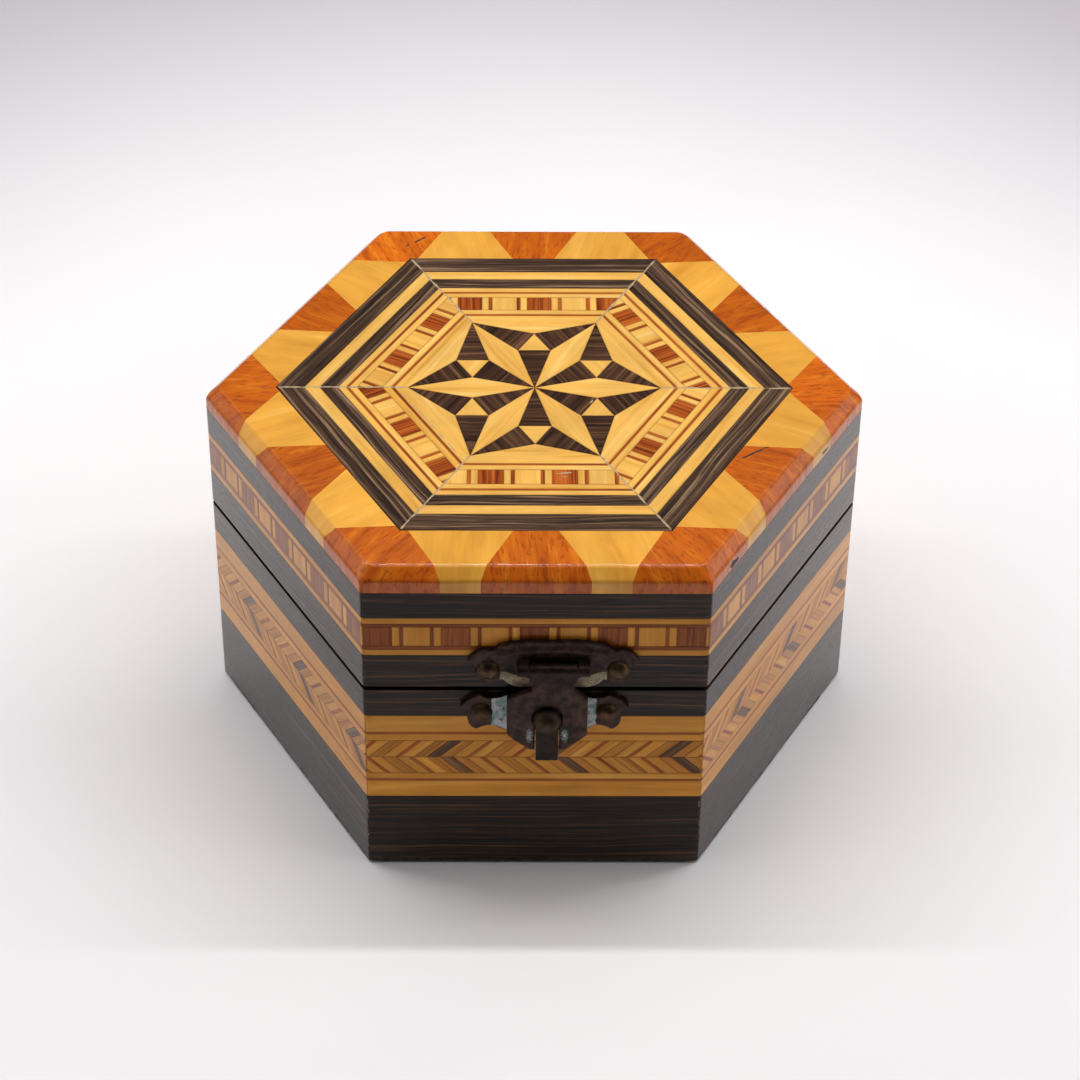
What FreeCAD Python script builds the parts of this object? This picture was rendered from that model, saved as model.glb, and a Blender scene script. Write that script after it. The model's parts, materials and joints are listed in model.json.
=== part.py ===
import FreeCAD, Part
import math
import os

# Hexagonal wooden box with a marquetry skin, a hinged lid and a bronze hasp.
# Millimetres. The origin is the centre of the underside, +Z is up, the hasp is on the -Y face and
# two corners of the hexagon lie on the X axis. Each face is drawn as the back face, whose outside
# is +Y, and turned about Z to its place.

Vector = FreeCAD.Vector
UP = Vector(0, 0, 1)

doc = FreeCAD.newDocument("marquetry_box")
sheet = doc.addObject("Spreadsheet::Sheet", "Sizes")

SIZES = [
    ("side", 50, "side of the hexagon, over the veneer"),
    ("foot", 0.5, "thickness of the felt under the box"),
    ("foot_inset", 1.5, "felt edge, in from the faces"),
    ("seam", 36.05, "height where lid and base meet"),
    ("seam_relief", 0.35, "veneer kept back from the seam, each way"),
    ("wall", 5, "thickness of the core boards"),
    ("veneer", 1.2, "thickness of the marquetry"),
    ("floor_board", 4, "thickness of the floor"),
    ("lining", 0.5, "thickness of the velvet lining"),
    ("lid_board", 3, "thickness of the lid's panel inside its walls"),
    ("rim_low", 54.3, "underside of the rim blocks"),
    ("rim_edge", 56.5, "where the rim's chamfer starts"),
    ("rim_top", 58.2, "top of the box"),
    ("rim_chamfer", 1.7, "chamfer's reach across the rim"),
    ("wenge_foot_top", 14.2, "top of the lower dark band"),
    ("line_low", 17.4, "underside of the lower red line"),
    ("line_low_top", 17.8, "top of the lower red line"),
    ("bone_low", 19.0, "underside of the herringbone"),
    ("bone_top", 25.6, "top of the herringbone"),
    ("line_high", 26.9, "underside of the upper red line"),
    ("line_high_top", 27.3, "top of the upper red line"),
    ("wenge_seam_low", 30.6, "underside of the dark band below the seam"),
    ("wenge_lid_top", 42.5, "top of the dark band above the seam"),
    ("strip_low", 43.6, "underside of the lid's inlaid strip"),
    ("strip_in_low", 44.3, "top of that strip's lower border"),
    ("strip_in_top", 47.9, "underside of that strip's upper border"),
    ("strip_top", 48.5, "top of the lid's inlaid strip"),
    ("wenge_rim_low", 49.6, "underside of the dark band below the rim"),
    ("top_wenge_out", 33.95, "lid top: apothem where the rim ends"),
    ("top_lemon_out", 30.2, "lid top: outer light band"),
    ("top_wenge_in", 28.2, "lid top: inner dark band"),
    ("top_string_a", 25.8, "lid top: first light stringing"),
    ("top_line_a", 24.75, "lid top: outer red line"),
    ("top_string_b", 24.35, "lid top: second light stringing"),
    ("top_strip_out", 23.3, "lid top: outside of the block strip"),
    ("top_strip_in", 19.95, "lid top: inside of the block strip"),
    ("top_line_b", 18.85, "lid top: inner red line"),
    ("star_field", 18.45, "lid top: edge of the star's field"),
    ("star_tip", 19.2, "radius of the star's six tips"),
    ("star_eye", 10.9, "radius of the small triangles' centres"),
    ("star_eye_reach", 2.9, "small triangle, centre to corner"),
    ("hinge_place", 14, "each hinge, from the middle of the back"),
    ("hinge_width", 12, "length of a hinge"),
    ("leaf", 0.3, "thickness of a hinge leaf"),
    ("leaf_reach", 4.5, "how far a leaf runs in from the face"),
    ("knuckle_radius", 1.5, "hinge knuckle"),
    ("knuckle_gap", 0.2, "knuckle to the back face"),
    ("knuckle_play", 0.1, "endwise play between knuckles"),
    ("hinge_pin_radius", 0.7, "hinge pin"),
    ("pin_hold", 0.02, "clearance where a pin is held"),
    ("pin_run", 0.05, "clearance where a pin turns"),
    ("nail_radius", 0.55, "shank of every nail"),
    ("nail_length", 4, "shank of every nail"),
    ("dome_radius", 1.7, "domed nail head"),
    ("dome_height", 1.1, "domed nail head"),
    ("hasp_place", 1.75, "the tongue and the catch stand this far right of the middle"),
    ("hasp_shift", 0.85, "the hasp plate and the tongue's barrel, right of the tongue"),
    ("catch_shift", 0.4, "the catch plate, left of the catch"),
    ("plate", 0.9, "thickness of the hasp's plates and tongue"),
    ("hasp_axis", 41.4, "height of the tongue's pin"),
    ("hasp_out", 1.95, "the tongue's pin, out from the face"),
    ("hasp_barrel", 1.0, "radius of the tongue's barrel"),
    ("hasp_half", 3.5, "half the barrel's length"),
    ("ear", 1.7, "length of each ear beside the barrel"),
    ("hasp_pin_radius", 0.45, "the tongue's pin"),
    ("tongue_back", 1.7, "the tongue's back, out from the face"),
    ("catch_axis", 32.7, "height of the catch's spindle"),
    ("catch_out", 3.1, "back of the turning catch, out from the face"),
    ("catch_head", 2.05, "radius of the catch's domed head"),
    ("catch_dome", 1.8, "height of that dome"),
    ("spindle", 0.8, "radius of the catch's spindle"),
    ("rivet_radius", 1.3, "the spindle's peened end"),
    ("rivet", 0.4, "thickness of that end"),
    ("tail_half", 1.65, "half the width of the catch's tail"),
    ("tail_reach", 7.3, "spindle to the end of the tail"),
    ("slot_half", 1.8, "half the width of the tongue's slot"),
    ("slot_round", 2.25, "radius of the slot's round head"),
]
for row, (alias, number, note) in enumerate(SIZES, start=1):
    sheet.set(f"A{row}", alias)
    sheet.set(f"B{row}", str(number))
    sheet.set(f"C{row}", note)
    sheet.setAlias(f"B{row}", alias)
doc.recompute()

WALL_PLANE = "(Sizes.side * sqrt(3) / 2)"
CORE = f"({WALL_PLANE} - Sizes.veneer)"
INSIDE = f"({CORE} - Sizes.wall)"
LINED = f"({INSIDE} - Sizes.lining)"
INLAY = "(Sizes.rim_top - Sizes.veneer)"
FLOOR_TOP = "Sizes.foot + Sizes.floor_board"
LID_UNDER = "Sizes.rim_low - Sizes.lid_board"
PLAY = "Sizes.knuckle_play"
HINGES = ("-Sizes.hinge_place", "Sizes.hinge_place")
LEAF_LOW = ("Sizes.seam - Sizes.leaf", "Sizes.seam")
LEAF_HIGH = ("Sizes.seam", "Sizes.seam + Sizes.leaf")
FACES = {
    "back": 0,
    "back_left": 60,
    "front_left": 120,
    "front": 180,
    "front_right": 240,
    "back_right": 300,
}
SMALLEST = 0.02  # mm3, below this a clipped slip is left out

nodes = []


def of(alias):
    """A size as a number."""
    return float(sheet.get(alias))


def node(solid, label):
    """Mark an object as a finished piece of the box."""
    solid.Label = label
    nodes.append(solid)
    return solid


def bind(solid, **sizes):
    """Tie an object's sizes to expressions."""
    for name, text in sizes.items():
        solid.setExpression(name, text)
    return solid


def place(solid, x="0", y="0", z="0"):
    for axis, text in zip("xyz", (x, y, z)):
        solid.setExpression(f"Placement.Base.{axis}", text)
    return solid


def group(label, members):
    """Separate solids of one kind, kept in one node."""
    bundle = doc.addObject("Part::Compound", "group")
    bundle.Links = members
    return node(bundle, label)


def box(x, y, z):
    """A box between pairs of low and high expressions."""
    solid = doc.addObject("Part::Box", "box")
    for size, (low, high) in zip(("Length", "Width", "Height"), (x, y, z)):
        solid.setExpression(size, f"({high}) - ({low})")
    return place(solid, x[0], y[0], z[0])


def rod(radius, x, y, z):
    """A cylinder along X."""
    solid = doc.addObject("Part::Cylinder", "rod")
    bind(solid, Radius=radius, Height=f"({x[1]}) - ({x[0]})")
    solid.Placement.Rotation = FreeCAD.Rotation(Vector(0, 1, 0), 90)
    return place(solid, x[0], y, z)


def fuse(members):
    joined = doc.addObject("Part::MultiFuse", "joined")
    joined.Shapes = members
    return joined


def cut(solid, tools):
    removed = doc.addObject("Part::Cut", "cut")
    removed.Base = solid
    removed.Tool = fuse(tools) if len(tools) > 1 else tools[0]
    return removed


# ---- Rings of mitred strips: walls, veneer bands, stringing and linings


def strip(face, inner, outer, low, high):
    """One side of a hexagonal ring between two apothems, mitred to its neighbours."""
    side = doc.addObject("Part::Wedge", "strip")
    near, far = f"({inner}) / sqrt(3)", f"({outer}) / sqrt(3)"
    bind(side, Ymin=inner, Ymax=outer, Xmin=f"-{near}", Xmax=near, X2min=f"-{far}", X2max=far)
    bind(side, Zmin=low, Zmax=high, Z2min=low, Z2max=high)
    side.Placement.Rotation = FreeCAD.Rotation(UP, FACES[face])
    return side


def rings(label, *spans):
    """A node of whole rings, each given by its inner and outer apothem, underside and top."""
    return group(label, [strip(face, *span) for span in spans for face in FACES])


def skin(low, high):
    return CORE, WALL_PLANE, low, high


def top(inner, outer):
    return inner, outer, INLAY, "Sizes.rim_top"


def hexagon(label, apothem, low, high):
    """A hexagonal board with two corners on the X axis."""
    board = doc.addObject("Part::Prism", "board")
    bind(board, Circumradius=f"({apothem}) * 2 / sqrt(3)", Height=f"({high}) - ({low})")
    board.Polygon = 6
    place(board, z=low)
    return node(board, label) if label else board


def leaf_pocket(centre, low, high):
    """Room for a hinge leaf in the edge of a back board."""
    half = f"(Sizes.hinge_width / 2 + {PLAY})"
    reach = f"{WALL_PLANE} - Sizes.leaf_reach - {PLAY}"
    return box((f"{centre} - {half}", f"{centre} + {half}"), (reach, WALL_PLANE), (low, high))


def walls(body, low, high, leaf_level):
    """Six mitred boards; the back one has pockets for the hinge leaves in its edge."""
    for face in FACES:
        board = strip(face, INSIDE, CORE, low, high)
        if face == "back":
            board = cut(board, [leaf_pocket(centre, *leaf_level) for centre in HINGES])
        node(board, f"{body}_wall_{face}")


hexagon("base_felt", f"{WALL_PLANE} - Sizes.foot_inset", "0", "Sizes.foot")
hexagon("floor_panel", INSIDE, "Sizes.foot", FLOOR_TOP)
hexagon("floor_lining", INSIDE, FLOOR_TOP, f"{FLOOR_TOP} + Sizes.lining")
walls("base", "Sizes.foot", "Sizes.seam", LEAF_LOW)
rings("base_wall_lining", (LINED, INSIDE, f"{FLOOR_TOP} + Sizes.lining", "Sizes.seam - Sizes.lining"))
rings("base_lower_wenge_band", skin("Sizes.foot", "Sizes.wenge_foot_top"))
rings("base_lower_lemon_bands", skin("Sizes.wenge_foot_top", "Sizes.line_low"),
      skin("Sizes.line_low_top", "Sizes.bone_low"))
rings("base_red_lines", skin("Sizes.line_low", "Sizes.line_low_top"),
      skin("Sizes.line_high", "Sizes.line_high_top"))
rings("base_upper_lemon_bands", skin("Sizes.bone_top", "Sizes.line_high"),
      skin("Sizes.line_high_top", "Sizes.wenge_seam_low"))
rings("base_upper_wenge_band", skin("Sizes.wenge_seam_low", "Sizes.seam - Sizes.seam_relief"))

walls("lid", "Sizes.seam", "Sizes.rim_low", LEAF_HIGH)
node(fuse([hexagon(None, INSIDE, LID_UNDER, "Sizes.rim_low"),
           hexagon(None, "Sizes.top_wenge_out", "Sizes.rim_low", INLAY)]), "lid_top_panel")
hexagon("lid_top_lining", INSIDE, f"{LID_UNDER} - Sizes.lining", LID_UNDER)
rings("lid_wall_lining", (LINED, INSIDE, "Sizes.seam + Sizes.lining", f"{LID_UNDER} - Sizes.lining"))
rings("lid_lower_wenge_band", skin("Sizes.seam + Sizes.seam_relief", "Sizes.wenge_lid_top"))
rings("lid_lemon_stringing", skin("Sizes.wenge_lid_top", "Sizes.strip_low"),
      skin("Sizes.strip_top", "Sizes.wenge_rim_low"))
rings("lid_upper_wenge_band", skin("Sizes.wenge_rim_low", "Sizes.rim_low"))
rings("top_outer_wenge_band", top("Sizes.top_lemon_out", "Sizes.top_wenge_out"))
rings("top_outer_lemon_band", top("Sizes.top_wenge_in", "Sizes.top_lemon_out"))
rings("top_inner_wenge_band", top("Sizes.top_string_a", "Sizes.top_wenge_in"))
rings("top_lemon_stringing", top("Sizes.top_line_a", "Sizes.top_string_a"),
      top("Sizes.top_strip_out", "Sizes.top_string_b"), top("Sizes.top_line_b", "Sizes.top_strip_in"))
rings("top_red_lines", top("Sizes.top_string_b", "Sizes.top_line_a"),
      top("Sizes.star_field", "Sizes.top_line_b"))


# ---- Inlay of many small slips, cut to fit their ring


def prism(points, thickness):
    """A solid on a closed outline, extruded by a vector."""
    return Part.Face(Part.makePolygon(points + points[:1])).extrude(thickness)


def trapezium(inner, outer, low, high):
    near, far = inner / math.sqrt(3), outer / math.sqrt(3)
    corners = [(-near, inner), (near, inner), (far, outer), (-far, outer)]
    return prism([Vector(x, y, low) for x, y in corners], UP * (high - low))


def side_slip(outline, inner, outer):
    """A slip in a face; its outline is (right, up) as seen from outside."""
    return prism([Vector(-right, inner, up) for right, up in outline], Vector(0, outer - inner, 0))


def top_slip(outline, low, high):
    """A slip in the lid's top; its outline is (right, out) as seen from that face's outside."""
    return prism([Vector(-right, out, low) for right, out in outline], UP * (high - low))


def fitted(slip, room):
    """The slip trimmed at the mitres, as a list of solids."""
    return [solid for solid in slip.common(room).Solids if solid.Volume > SMALLEST]


def inlay(label, slips):
    """One node of slips, a list of (face, solid)."""
    piece = doc.addObject("Part::Feature", "inlay")
    turned_slips = [solid.rotated(Vector(), UP, FACES[face]) for face, solid in slips]
    piece.Shape = Part.makeCompound(turned_slips)
    return node(piece, label)


def repeat(pattern, start, low, high):
    """Cuts (wood, from, to) of a repeating pattern that cover low to high; one period begins at start."""
    period = sum(width for _, width in pattern)
    at = start - period * math.ceil((start - low) / period)
    while at < high:
        for wood, width in pattern:
            if at + width > low and at < high:
                yield wood, at, at + width
            at += width


def strip_inlay(labels, pattern, starts, room_sizes, rows, slip):
    """Fill one ring with a pattern; a node for each wood.

    room_sizes are the ring's inner and outer apothem, underside and top. Each row is how far its
    pattern is shifted, how far its slips slant, and its two edges.
    """
    reach = room_sizes[1] / math.sqrt(3)
    room = trapezium(*room_sizes)
    found = {wood: [] for wood in labels}
    for face, start in starts.items():
        for shift, slant, base, tip in rows:
            for wood, left, right in repeat(pattern, start + shift, -reach - slant, reach):
                points = [(left, base), (right, base), (right + slant, tip), (left + slant, tip)]
                found[wood] += [(face, solid) for solid in fitted(slip(points), room)]
    for wood, label in labels.items():
        inlay(label, found[wood])


wall_plane = of("side") * math.sqrt(3) / 2
core = wall_plane - of("veneer")
rim_top = of("rim_top")
inlay_low = rim_top - of("veneer")


def in_skin(points):
    return side_slip(points, core, wall_plane)


def in_top(points):
    return top_slip(points, inlay_low, rim_top)


# Herringbone: two rows of slips at 45 degrees, their chevrons pointing left on every face.
BONE = [("wenge", 1.9), ("golden", 1.9), ("lemon", 2.1), ("red", 0.65), ("lemon", 1.95), ("golden", 2.1),
        ("lemon", 1.9), ("red", 0.65), ("lemon", 2.1), ("golden", 1.9)]
BONE_START = -15.95
BONE_STEP = 1.9
bone_low, bone_top = of("bone_low"), of("bone_top")
bone_middle = (bone_low + bone_top) / 2
bone_row = bone_top - bone_middle
strip_inlay(
    {wood: f"herringbone_{wood}_slips" for wood in ("wenge", "golden", "lemon", "red")},
    BONE,
    {face: BONE_START for face in FACES},
    (core, wall_plane, bone_low, bone_top),
    [(0, bone_row, bone_middle, bone_top), (BONE_STEP, bone_row, bone_middle, bone_low)],
    in_skin,
)

# The lid's strip: brown blocks, light squares between thin lines, and a border above and below.
SQUARES = [("brown", 4.2), ("lemon", 1.1), ("brown", 0.5), ("lemon", 3.9), ("brown", 0.5), ("lemon", 1.1)]
SQUARES_START = -2.3
strip_in_low, strip_in_top = of("strip_in_low"), of("strip_in_top")
strip_inlay(
    {"brown": "lid_strip_brown_pieces", "lemon": "lid_strip_lemon_pieces"},
    SQUARES,
    {face: SQUARES_START for face in FACES},
    (core, wall_plane, strip_in_low, strip_in_top),
    [(0, 0, strip_in_low, strip_in_top)],
    in_skin,
)
rings("lid_strip_borders", skin("Sizes.strip_low", "Sizes.strip_in_low"),
      skin("Sizes.strip_in_top", "Sizes.strip_top"))

# The same kind of strip in the lid's top, sawn off at a different place for each side.
BLOCKS = [("red", 3.8), ("lemon", 1.05), ("red", 0.55), ("lemon", 3.85), ("red", 0.55), ("lemon", 1.05)]
BLOCK_CENTRES = {
    "front": 4.3,
    "front_right": -4.3,
    "back_right": -2.4,
    "back": -0.85,
    "back_left": 4.1,
    "front_left": -1.1,
}
block_width = BLOCKS[0][1]
block_in, block_out = of("top_strip_in"), of("top_strip_out")
strip_inlay(
    {"red": "top_strip_red_pieces", "lemon": "top_strip_lemon_pieces"},
    BLOCKS,
    {face: centre - block_width / 2 for face, centre in BLOCK_CENTRES.items()},
    (block_in, block_out, inlay_low, rim_top),
    [(0, 0, block_in, block_out)],
    in_top,
)


# ---- The star in the middle of the lid


def polar(radius, degrees):
    return radius * math.sin(math.radians(degrees)), radius * math.cos(math.radians(degrees))


# One sixth of the star, drawn about the back face's outward direction: a light three-cornered eye
# with a dark triangle on each of its edges, and the light piece outside them.
tip_left, tip_right = polar(of("star_tip"), -30), polar(of("star_tip"), 30)
middle = (0, 0)
eye_corners = [polar(of("star_eye_reach"), turn) for turn in (0, 120, -120)]
eye_out, eye_right, eye_left = [(right, up + of("star_eye")) for right, up in eye_corners]
edge_right, edge_left = [polar(of("star_field") * 2 / math.sqrt(3), turn) for turn in (30, -30)]
eye = [eye_out, eye_right, eye_left]
darks = [[middle, eye_left, eye_right], [tip_right, eye_right, eye_out], [tip_left, eye_out, eye_left]]
field = [tip_left, eye_out, tip_right, edge_right, edge_left]
# Each light ray lies across the line between two sixths; it is drawn here about the back direction.
ray_side = polar(math.hypot(*eye_right), 30 - math.degrees(math.atan2(*eye_right)))
ray = [middle, ray_side, (0, of("star_tip")), (-ray_side[0], ray_side[1])]


def star(label, outlines, turn=0):
    solids = [in_top(points).rotated(Vector(), UP, turn) for points in outlines]
    inlay(label, [(face, solid) for face in FACES for solid in solids])


star("star_lemon_rays", [ray], turn=30)
star("star_wenge_triangles", darks)
star("star_lemon_eyes", [eye])
star("star_field_pieces", [field])


# ---- Rim: blocks of two woods round the lid's edge, chamfered outside

# Half widths of the middle block and of the middle and yellow blocks together, at the inlay and
# at the face.
RIM_INNER_CUTS = (3.3, 18.4)
RIM_OUTER_CUTS = (7.9, 13.7)


def rim_cut(points):
    """Upright prism through the whole rim on a (right, out) outline."""
    return top_slip(points, of("rim_low"), rim_top)


def mirrored(points):
    return [(-right, out) for right, out in points]


rim_edge, rim_inner = of("rim_edge"), of("top_wenge_out")
rim_profile = [(rim_inner, of("rim_low")), (wall_plane, of("rim_low")), (wall_plane, rim_edge),
               (wall_plane - of("rim_chamfer"), rim_top), (rim_inner, rim_top)]
reach = of("side")
bar = prism([Vector(-reach, out, up) for out, up in rim_profile], Vector(2 * reach, 0, 0))
slope = math.tan(math.radians(30))
rim_side = bar.common(rim_cut([(0, 0), (reach, reach / slope), (-reach, reach / slope)]))
inner_near, inner_far = RIM_INNER_CUTS
outer_near, outer_far = RIM_OUTER_CUTS
near_cut = [(inner_near, rim_inner), (outer_near, wall_plane)]
far_cut = [(inner_far, rim_inner), (outer_far, wall_plane)]
centre_block = rim_side.common(rim_cut(near_cut + mirrored(near_cut)[::-1]))
yellow_outline = near_cut + far_cut[::-1]
corner = [(inner_far, rim_inner), (outer_far, wall_plane), (reach, wall_plane), (reach, rim_inner)]
yellow_blocks = []
corner_halves = []
for side in (list, mirrored):
    yellow_blocks += rim_side.common(rim_cut(side(yellow_outline))).Solids
    corner_halves.append(rim_side.common(rim_cut(side(corner))))
corner_block = corner_halves[0].fuse(corner_halves[1].rotated(Vector(), UP, 60)).removeSplitter()
red_blocks = centre_block.Solids + corner_block.Solids
inlay("rim_red_blocks", [(face, solid) for face in FACES for solid in red_blocks])
inlay("rim_yellow_blocks", [(face, solid) for face in FACES for solid in yellow_blocks])

# ---- Hinges at the back: leaves in the seam, knuckles outside

HINGE_Y = f"({WALL_PLANE} + Sizes.knuckle_gap + Sizes.knuckle_radius)"
THIRD = "Sizes.hinge_width / 6"  # half a knuckle


def nail_shank(centre, side, radius, low):
    """An upright nail's cylinder, left or right of the middle of a leaf."""
    shank = doc.addObject("Part::Cylinder", "nail")
    bind(shank, Radius=radius, Height="Sizes.nail_length")
    return place(shank, f"{centre} {side} Sizes.hinge_width / 4",
                 f"{WALL_PLANE} - (Sizes.leaf_reach + Sizes.veneer) / 2", low)


def leaf(centre, level, spans, hold):
    """A hinge leaf with a knuckle on each span, given as expressions either side of its centre."""
    whole = (f"{centre} - Sizes.hinge_width / 2", f"{centre} + Sizes.hinge_width / 2")
    parts = [box(whole, (f"{WALL_PLANE} - Sizes.leaf_reach", WALL_PLANE), level)]
    for low, high in spans:
        span = (f"{centre} + {low}", f"{centre} + {high}")
        parts.append(box(span, (WALL_PLANE, HINGE_Y), level))
        parts.append(rod("Sizes.knuckle_radius", span, HINGE_Y, "Sizes.seam"))
    bore = rod(f"Sizes.hinge_pin_radius + {hold}", whole, HINGE_Y, "Sizes.seam")
    holes = [nail_shank(centre, side, "Sizes.nail_radius + Sizes.pin_hold", level[0]) for side in "-+"]
    return cut(fuse(parts), [bore] + holes)


def hinge_pin(centre):
    whole = (f"{centre} - Sizes.hinge_width / 2", f"{centre} + Sizes.hinge_width / 2")
    return rod("Sizes.hinge_pin_radius", whole, HINGE_Y, "Sizes.seam")


OUTER_KNUCKLES = [(f"(-3 * {THIRD})", f"(-{THIRD} - {PLAY})"), (f"({THIRD} + {PLAY})", f"(3 * {THIRD})")]
MIDDLE_KNUCKLE = [(f"(-{THIRD})", f"({THIRD})")]

group("hinge_base_leaves", [leaf(c, LEAF_LOW, OUTER_KNUCKLES, "Sizes.pin_hold") for c in HINGES])
group("hinge_lid_leaves", [leaf(c, LEAF_HIGH, MIDDLE_KNUCKLE, "Sizes.pin_run") for c in HINGES])
group("hinge_pins", [hinge_pin(centre) for centre in HINGES])
# Two small nails hold each leaf, flush with it and driven away from the seam.
nail_places = [(centre, side) for centre in HINGES for side in "-+"]
nail_levels = {"hinge_base_nails": "Sizes.seam - Sizes.nail_length", "hinge_lid_nails": "Sizes.seam"}
for label, low in nail_levels.items():
    group(label, [nail_shank(centre, side, "Sizes.nail_radius", low) for centre, side in nail_places])

# ---- Hasp on the front: scalloped plates, a hanging tongue and a turning catch

FRONT = f"(-{WALL_PLANE})"
TONGUE_X = "Sizes.hasp_place"
HASP_X = "(Sizes.hasp_place + Sizes.hasp_shift)"
PLATE_X = "(Sizes.hasp_place - Sizes.catch_shift)"

# Right halves of the scalloped outlines, about the tongue's pin and about the catch's spindle.
# Each arc is (middle, end) and starts where the one before ends.
HASP_EDGE = [(0, 4.3), ((5, 4.25), (8.0, 3.6)), ((8.9, 2.75), (10.0, 2.9)), ((11.3, 2.3), (12.5, 0.5)),
             ((11.5, 0.1), (11.3, -1.4)), ((10.8, -3.0), (9.4, -3.6)), ((8.3, -3.2), (7.4, -2.7)),
             ((6.0, -3.9), (3.6, -4.3))]
CATCH_EDGE = [(0, 2.4), ((3.2, 2.5), (5.6, 2.8)), ((7.6, 2.2), (9.4, 2.9)), ((10.9, 2.0), (12.4, 0.4)),
              ((11.4, -0.2), (11.2, -1.6)), ((10.9, -3.1), (9.9, -3.9)), ((8.6, -3.2), (7.2, -3.3)),
              ((5.6, -4.1), (4.0, -4.2))]
NAILS = {"hasp": (9.4, -0.8), "catch": (9.2, -0.4)}


def front_sketch(edges, circles, middle, height):
    """Closed outline on the front face, right as x and up as y, with round holes."""
    sketch = doc.addObject("Sketcher::SketchObject", "outline")
    sketch.Placement.Rotation = FreeCAD.Rotation(Vector(1, 0, 0), 90)
    place(sketch, middle, FRONT, height)
    sketch.addGeometry(edges, False)
    for right, up, radius in circles:
        sketch.addGeometry(Part.Circle(Vector(right, up, 0), UP, radius), False)
    return sketch


def flat(point, side=1):
    """A sketch point, on the right or mirrored to the left."""
    return Vector(side * point[0], point[1], 0)


def scalloped(edge):
    """Mirror half an outline of arcs and close it across the bottom."""
    edges = []
    for side in (1, -1):
        start = edge[0]
        for through, end in edge[1:]:
            edges.append(Part.Arc(flat(start, side), flat(through, side), flat(end, side)))
            start = end
    return edges + [Part.LineSegment(flat(start), flat(start, -1))]


def plate(sketch, start="0", thickness="Sizes.plate"):
    """The outline raised from the front face."""
    sheet_metal = doc.addObject("Part::Extrusion", "plate")
    sheet_metal.Base = sketch
    sheet_metal.DirMode = "Normal"
    sheet_metal.Solid = True
    sheet_metal.FaceMakerClass = "Part::FaceMakerBullseye"
    bind(sheet_metal, LengthFwd=f"{start} + {thickness}", LengthRev=f"-({start})")
    return sheet_metal


def out(distance):
    return f"{FRONT} - {distance}"


def across(half, middle=HASP_X):
    """From half to the left of the middle to half to its right."""
    return f"{middle} - {half}", f"{middle} + {half}"


def hasp_rod(radius, span):
    """A cylinder on the tongue's pin."""
    return rod(radius, span, out("Sizes.hasp_out"), "Sizes.hasp_axis")


hole = of("nail_radius") + of("pin_hold")
hasp_nail_holes = [(side * NAILS["hasp"][0], NAILS["hasp"][1], hole) for side in (1, -1)]
hasp_body = plate(front_sketch(scalloped(HASP_EDGE), hasp_nail_holes, HASP_X, "Sizes.hasp_axis"))
pin_span = across(f"(Sizes.hasp_half + {PLAY} + Sizes.ear)")
barrel_room = across(f"(Sizes.hasp_half + {PLAY})")
level = ("Sizes.hasp_axis - Sizes.hasp_barrel", "Sizes.hasp_axis + Sizes.hasp_barrel")
ears = []
for span in ((pin_span[0], barrel_room[0]), (barrel_room[1], pin_span[1])):
    ears += [hasp_rod("Sizes.hasp_barrel", span), box(span, (out("Sizes.hasp_out"), FRONT), level)]
ear_bore = hasp_rod("Sizes.hasp_pin_radius + Sizes.pin_hold", pin_span)
node(cut(fuse([hasp_body] + ears), [ear_bore]), "hasp_plate")
node(hasp_rod("Sizes.hasp_pin_radius", pin_span), "hasp_pin")

# Tongue: a neck under the barrel and a blade with two prongs beside the catch's tail. The right
# half, from the barrel's end round to the slot; heights are from the tongue's pin.
BARREL_LOW = -1.6
NECK_HALF, NECK_HIGH, NECK_LOW = 3.05, -2.4, -3.4
TONGUE_HALF, SHOULDER, CHEEK_LOW = 5.9, -5.1, -12.1
FOOT_HALF, FOOT = 2.5, -15.0
slot_centre = of("catch_axis") - of("hasp_axis")
slot_half, slot_round = of("slot_half"), of("slot_round")
slot_turn = slot_centre - math.sqrt(slot_round ** 2 - slot_half ** 2)
neck = [
    (of("hasp_half"), 0),
    (of("hasp_half"), BARREL_LOW),
    (NECK_HALF, NECK_HIGH),
    (NECK_HALF, NECK_LOW),
]
blade = [
    (TONGUE_HALF, SHOULDER),
    (TONGUE_HALF, CHEEK_LOW),
    (FOOT_HALF, FOOT),
    (slot_half, FOOT),
    (slot_half, slot_turn),
]


def tongue_side(side):
    """One side of the tongue's outline; the neck hangs off centre, under its barrel."""
    lean = Vector(of("hasp_shift"), 0, 0)
    return [flat(point, side) + lean for point in neck] + [flat(point, side) for point in blade]


right_side, left_side = tongue_side(1), tongue_side(-1)
tongue_edges = [Part.LineSegment(left_side[0], right_side[0])]
for corners in (right_side, left_side):
    tongue_edges += [Part.LineSegment(a, b) for a, b in zip(corners, corners[1:])]
slot_top = flat((0, slot_centre + slot_round))
tongue_edges.append(Part.Arc(right_side[-1], slot_top, left_side[-1]))
tongue_plate = plate(front_sketch(tongue_edges, [], TONGUE_X, "Sizes.hasp_axis"), "Sizes.tongue_back")
barrel = hasp_rod("Sizes.hasp_barrel", across("Sizes.hasp_half"))
barrel_bore = hasp_rod("Sizes.hasp_pin_radius + Sizes.pin_run", pin_span)
node(cut(fuse([tongue_plate, barrel]), [barrel_bore]), "hasp_tongue")


def disc(name, radius, thickness):
    """A short cylinder about the catch's spindle, standing out from the front face."""
    solid = doc.addObject("Part::Cylinder", name)
    bind(solid, Radius=radius, Height=thickness)
    solid.Placement.Rotation = FreeCAD.Rotation(Vector(1, 0, 0), 90)
    return place(solid, TONGUE_X, FRONT, "Sizes.catch_axis")


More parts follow.
